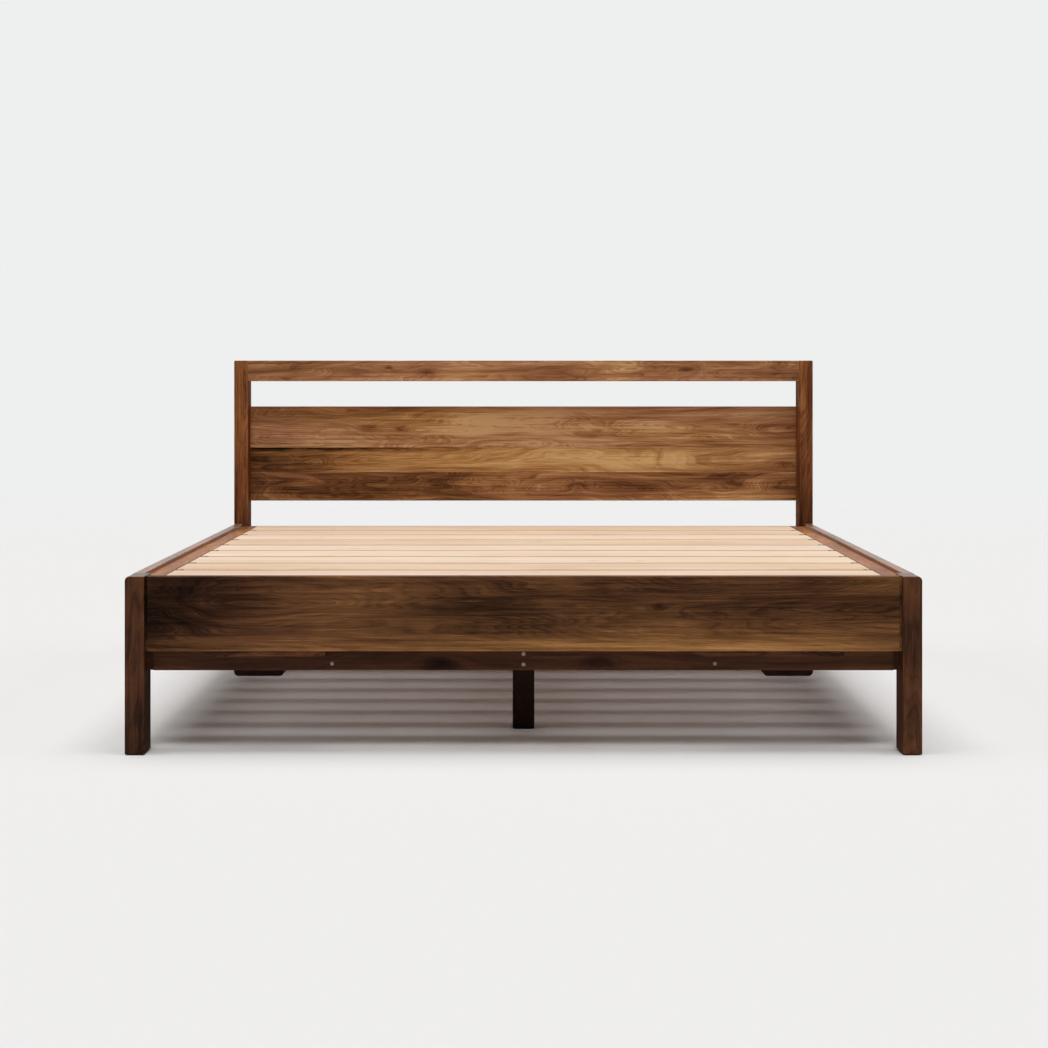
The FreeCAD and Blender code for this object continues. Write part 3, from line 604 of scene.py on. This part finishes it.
def moulded_plastic(name):
    """Black moulded plastic with a spark-eroded texture and scuffs."""
    material, tree, shader = new_material(name)
    place = object_place(tree)
    x, y, z = place
    grain = speckle(place, 1500.0, 1.0)
    scuff = noise(x * 60.0, y * 60.0, z * 20.0, 5.0, 0.7)
    colours = [(0.0, (14, 13, 13)), (0.7, (30, 28, 27)), (1.0, (52, 50, 48))]
    tree.links.new(ramp(scuff * 0.8 + grain * 0.2, colours), shader.inputs["Base Color"])
    feed(tree, shader.inputs["Roughness"], scuff * 0.3 + grain * 0.15 + 0.35)
    add_bump(tree, shader, grain, 0.35, 0.0002)
    return material


def dress_hardware():
    zinc = zinc_steel("zinc_steel")
    coat = powder_coat("powder_coat")
    plastic = moulded_plastic("moulded_plastic")
    by_slot = {"steel_fasteners": zinc, "steel_brackets": coat, "black_plastic": plastic}
    for row in frame["record"]["subparts"]:
        finish = by_slot.get(row["material_slot"])
        if finish:
            dress(row["node"], finish)
    for end in ("front", "rear"):
        name = "levelling_foot_" + end + "_stem"
        dress(name, threaded_steel("thread_" + end, name))


# ---- studio --------------------------------------------------------------------
BACKDROP = (238, 239, 239)
FLOOR_HALF_SIZE = 40.0
FLOOR_FADE = (5.0, 14.0)                    # metres from the bed's middle
FLOOR_PAINT = (0.80, 0.80, 0.80, 1.0)
SHADED_FLOOR = (0.30, 0.10, 0.02, 1.0)      # under the bed, for all but camera rays
SHADE_EDGE = 0.10                           # half the width in metres over which it begins
MIRRORED_FLOOR = (0.12, 0.08, 0.06, 1.0)    # for glossy rays, everywhere
SKY = (0.026, 0.016, 0.010, 1.0)
BEHIND_BED = (-0.1, 0.6)                    # glossy rays that point this far back see the backdrop


def make_floor():
    """A pale floor that melts into the backdrop a few metres from the bed."""
    mesh = bpy.data.meshes.new("studio_floor")
    signs = ((-1, -1), (1, -1), (1, 1), (-1, 1))
    corners = [(a * FLOOR_HALF_SIZE, b * FLOOR_HALF_SIZE, 0) for a, b in signs]
    mesh.from_pydata(corners, [], [(0, 1, 2, 3)])
    floor = bpy.data.objects.new("studio_floor", mesh)
    bpy.context.scene.collection.objects.link(floor)
    material = bpy.data.materials.new("studio_floor")
    material.use_nodes = True
    tree = material.node_tree
    tree.nodes.clear()
    output = tree.nodes.new("ShaderNodeOutputMaterial")
    paint = tree.nodes.new("ShaderNodeBsdfDiffuse")
    clear = tree.nodes.new("ShaderNodeBsdfTransparent")
    blend = tree.nodes.new("ShaderNodeMixShader")
    bounce = tree.nodes.new("ShaderNodeMix")
    bounce.data_type = "RGBA"
    rays = tree.nodes.new("ShaderNodeLightPath")
    x, y, _ = object_place(tree)
    distance = (x * x + y * y).math("SQRT")
    feed(tree, blend.inputs[0], distance.smooth(*FLOOR_FADE))
    # light that bounces off the floor under the bed is dim and warm
    low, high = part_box("foot_rail")
    half_x, half_y = high[0], -low[1]
    edge = (x.math("ABSOLUTE") - half_x).math("MAXIMUM", y.math("ABSOLUTE") - half_y)
    under = edge.smooth(-SHADE_EDGE, SHADE_EDGE, 1.0, 0.0)
    unseen = -Field(tree, rays.outputs["Is Camera Ray"]) + 1.0
    feed(tree, bounce.inputs["Factor"], under * unseen)
    bounce.inputs["A"].default_value = FLOOR_PAINT
    bounce.inputs["B"].default_value = SHADED_FLOOR
    # the floor's mirror image in the wood is dim too
    mirror = tree.nodes.new("ShaderNodeMix")
    mirror.data_type = "RGBA"
    tree.links.new(rays.outputs["Is Glossy Ray"], mirror.inputs["Factor"])
    tree.links.new(bounce.outputs["Result"], mirror.inputs["A"])
    mirror.inputs["B"].default_value = MIRRORED_FLOOR
    tree.links.new(mirror.outputs["Result"], paint.inputs["Color"])
    tree.links.new(paint.outputs[0], blend.inputs[1])
    tree.links.new(clear.outputs[0], blend.inputs[2])
    tree.links.new(blend.outputs[0], output.inputs["Surface"])
    mesh.materials.append(material)


def make_world():
    """A bright plain backdrop, a faint sky for fill, and a sheen from behind the bed."""
    world = bpy.data.worlds.new("studio")
    bpy.context.scene.world = world
    world.use_nodes = True
    tree = world.node_tree
    tree.nodes.clear()
    output = tree.nodes.new("ShaderNodeOutputWorld")
    seen = tree.nodes.new("ShaderNodeBackground")
    sky = tree.nodes.new("ShaderNodeBackground")
    blend = tree.nodes.new("ShaderNodeMixShader")
    rays = tree.nodes.new("ShaderNodeLightPath")
    seen.inputs["Color"].default_value = linear(BACKDROP)
    sky.inputs["Color"].default_value = SKY
    direction = object_place(tree, "Generated")
    looks = Field(tree, rays.outputs["Is Camera Ray"])
    gleams = Field(tree, rays.outputs["Is Glossy Ray"]) * direction[1].smooth(*BEHIND_BED)
    feed(tree, blend.inputs[0], looks.math("MAXIMUM", gleams))
    tree.links.new(sky.outputs[0], blend.inputs[1])
    tree.links.new(seen.outputs[0], blend.inputs[2])
    tree.links.new(blend.outputs[0], output.inputs["Surface"])


# name, azimuth (0 shines from the foot end, 90 from the right), elevation, strength, spread
LAMPS = [
    ("overhead_light", 0.0, 90.0, 1.57, 60.0),
    ("key_light", 0.0, 56.0, 1.10, 14.0),
    ("left_light", -60.0, 72.0, 0.315, 20.0),
    ("right_light", 60.0, 72.0, 0.315, 20.0),
    ("left_fill", -90.0, 25.0, 0.28, 30.0),
    ("right_fill", 90.0, 25.0, 0.28, 30.0),
]


def make_lights():
    for name, azimuth, elevation, strength, spread in LAMPS:
        data = bpy.data.lights.new(name, "SUN")
        data.energy = strength
        data.angle = math.radians(spread)
        lamp = bpy.data.objects.new(name, data)
        bpy.context.scene.collection.objects.link(lamp)
        a = math.radians(azimuth)
        e = math.radians(elevation)
        towards = Vector((math.sin(a) * math.cos(e), -math.cos(a) * math.cos(e), math.sin(e)))
        lamp.rotation_euler = towards.to_track_quat("Z", "Y").to_euler()


CAMERA_DISTANCE = 5.516          # metres from the foot end
CAMERA_HEIGHT = 0.9545           # metres above the floor
FILM_WIDTH = 36.0                # millimetres
FOCAL_LENGTH = 73.75             # millimetres
CAMERA_SHIFT = (0.0005, -0.1336)    # shares of the film's width


def make_camera():
    """A long lens at the foot end, level, with the frame shifted down onto the bed."""
    foot_end = CAD_BOUNDS[0][1]
    data = bpy.data.cameras.new("camera")
    data.sensor_width = FILM_WIDTH
    data.lens = FOCAL_LENGTH
    data.shift_x, data.shift_y = CAMERA_SHIFT
    camera = bpy.data.objects.new("camera", data)
    camera.location = (0.0, foot_end - CAMERA_DISTANCE, CAMERA_HEIGHT)
    camera.rotation_euler = (math.radians(90), 0.0, 0.0)
    bpy.context.scene.collection.objects.link(camera)
    bpy.context.scene.camera = camera


dress_headboard()
dress_foot_end()
dress_sides()
dress_slats()
dress_centre()
dress_hardware()
make_floor()
make_world()
make_lights()
make_camera()
bpy.context.scene.view_settings.view_transform = "Standard"

bpy.context.view_layer.update()
